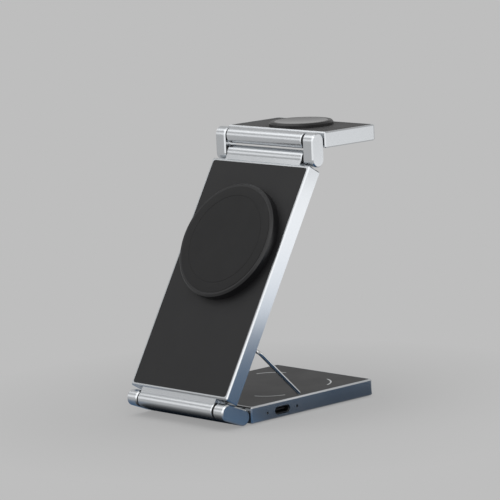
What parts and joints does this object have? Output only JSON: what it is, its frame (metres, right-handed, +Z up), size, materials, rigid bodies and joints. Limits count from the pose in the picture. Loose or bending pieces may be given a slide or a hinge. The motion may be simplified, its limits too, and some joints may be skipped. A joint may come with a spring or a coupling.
{
  "type": "wireless charger",
  "caption": "Folding three-in-one wireless charging stand: base pad for an earbud case, leaning panel with a round magnetic phone puck, and a hinged arm with a watch puck.",
  "frame": {"origin": "on the surface the stand rests on, below the middle of its outline when it is open", "axes": "+Z up, front of the stand towards -Y, charging socket on the +X side"},
  "size_m": [0.064, 0.1046, 0.1283],
  "materials": {
    "anodised_aluminium": "bead-blasted and anodised grey with bright cut edges",
    "black_pad": "matt black polycarbonate with a soft coat",
    "black_cover": "moulded black, fine texture",
    "black_puck": "moulded black, satin",
    "soft_face": "black silicone, matt",
    "gloss_dish": "black, polished",
    "rubber_foot": "black rubber",
    "black_washer": "black acetal",
    "steel": "plain steel",
    "bright_wire": "drawn and polished wire",
    "socket_tongue": "black, moulded",
    "light_pipe": "clear acrylic",
    "circuit_board": "green solder mask",
    "copper": "enamelled copper winding",
    "ferrite": "sintered ferrite, dark grey",
    "plated_magnet": "nickel plated"
  },
  "bodies": {
    "base": {"base_frame": "anodised_aluminium", "base_pad": "black_pad", "base_cover": "black_cover", "base_screws": "steel", "base_feet": "rubber_foot", "socket_shell": "steel", "socket_tongue": "socket_tongue", "light_pipes": "light_pipe", "base_board": "circuit_board", "earbud_coil": "copper", "earbud_ferrite": "ferrite"},
    "front_link": {"front_ear_left": "anodised_aluminium", "front_ear_right": "anodised_aluminium", "front_base_axle": "steel", "front_panel_axle": "steel", "front_washers": "black_washer"},
    "panel": {"panel_frame": "anodised_aluminium", "panel_pad": "black_pad", "panel_cover": "black_cover", "panel_screws": "steel", "panel_board": "circuit_board", "phone_puck": "black_puck", "phone_face": "soft_face", "magnet_ring": "plated_magnet", "phone_shield": "steel", "phone_ferrite": "ferrite", "phone_coil": "copper", "bail_saddles": "steel"},
    "prop_bail": {"prop_bail": "bright_wire"},
    "top_link": {"top_ear_left": "anodised_aluminium", "top_ear_right": "anodised_aluminium", "top_panel_axle": "steel", "top_arm_axle": "steel", "top_washers": "black_washer"},
    "arm": {"arm_frame": "anodised_aluminium", "arm_pad": "black_pad", "arm_cover": "black_cover", "arm_screws": "steel", "watch_puck": "black_puck", "watch_dish": "gloss_dish", "watch_ferrite": "ferrite", "watch_coil": "copper", "watch_magnet": "plated_magnet"}
  },
  "joints": [
    {"name": "fold", "type": "hinge", "parent": "base", "child": "front_link", "pos_m": [0, -0.03919, 0.00435], "axis": [1, 0, 0], "range_deg": [-59.4, 0]},
    {"name": "lean", "type": "hinge", "parent": "front_link", "child": "panel", "pos_m": [0, -0.04856, 0.00813], "axis": [1, 0, 0], "range_deg": [0, 30]},
    {"name": "bail_swing", "type": "hinge", "parent": "panel", "child": "prop_bail", "pos_m": [0, -0.02807, 0.03296], "axis": [1, 0, 0], "range_deg": [0, 103.22]},
    {"name": "arm_fold", "type": "hinge", "parent": "panel", "child": "top_link", "pos_m": [0, 0.01431, 0.11443], "axis": [1, 0, 0], "range_deg": [-120.6, 30]},
    {"name": "arm_tilt", "type": "hinge", "parent": "top_link", "child": "arm", "pos_m": [0, 0.01431, 0.12273], "axis": [1, 0, 0], "range_deg": [0, 90]}
  ],
  "couplings": [
    {"joint": "bail_swing", "follows": "fold", "ratio": -1.7327}
  ]
}
